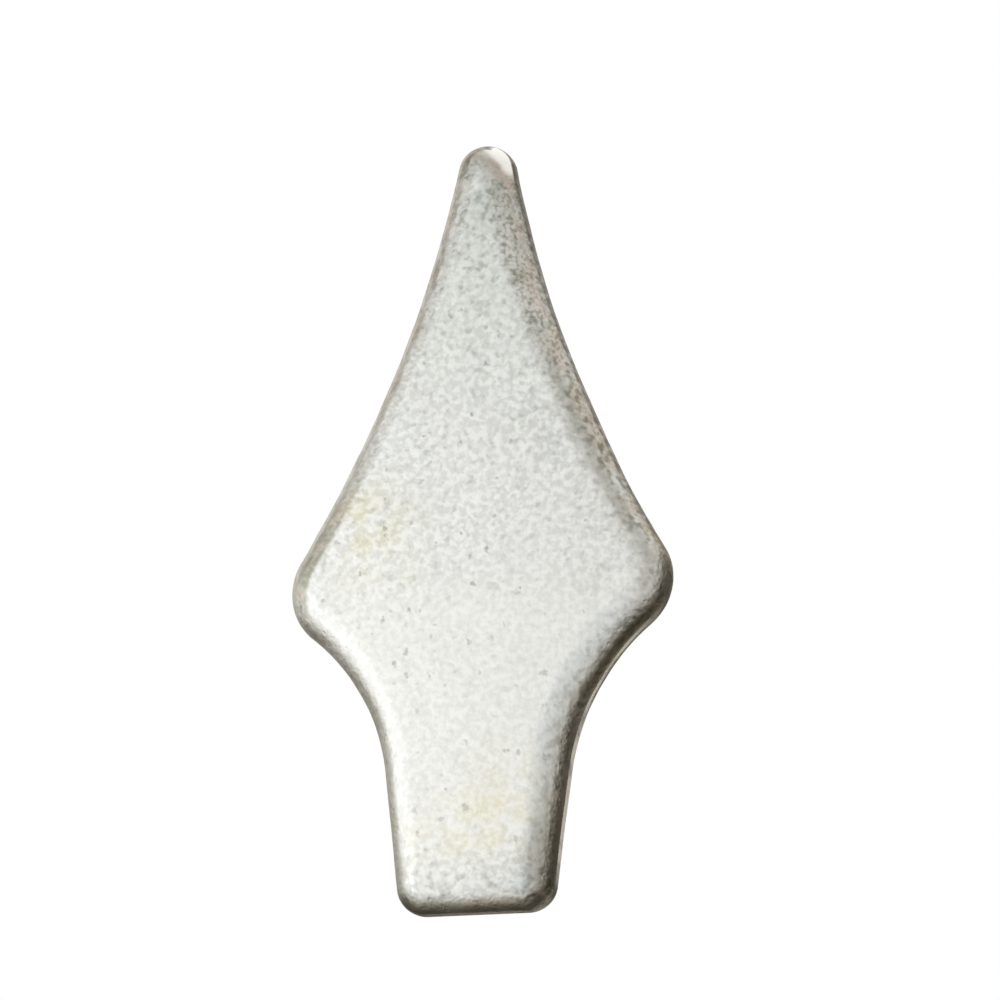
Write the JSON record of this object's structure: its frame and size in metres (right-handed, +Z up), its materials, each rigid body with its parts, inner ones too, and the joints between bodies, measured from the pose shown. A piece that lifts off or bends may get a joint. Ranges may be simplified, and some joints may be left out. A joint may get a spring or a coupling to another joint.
{
  "type": "railing spear finial",
  "caption": "Flat spear-shaped finial with hollow flanks, rounded shoulders and a tapered weld foot, for the top of a railing bar",
  "frame": {"origin": "centre of the flat weld face at the foot", "axes": "+Z up the axis from the weld foot to the tip, +X across the width, +Y through the thickness towards the back face"},
  "size_m": [0.0494, 0.009, 0.1],
  "materials": {
    "blasted_steel": "shot blasted bare steel, fine matt grain"
  },
  "bodies": {
    "root": {"spear_finial": "blasted_steel"}
  },
  "joints": []
}
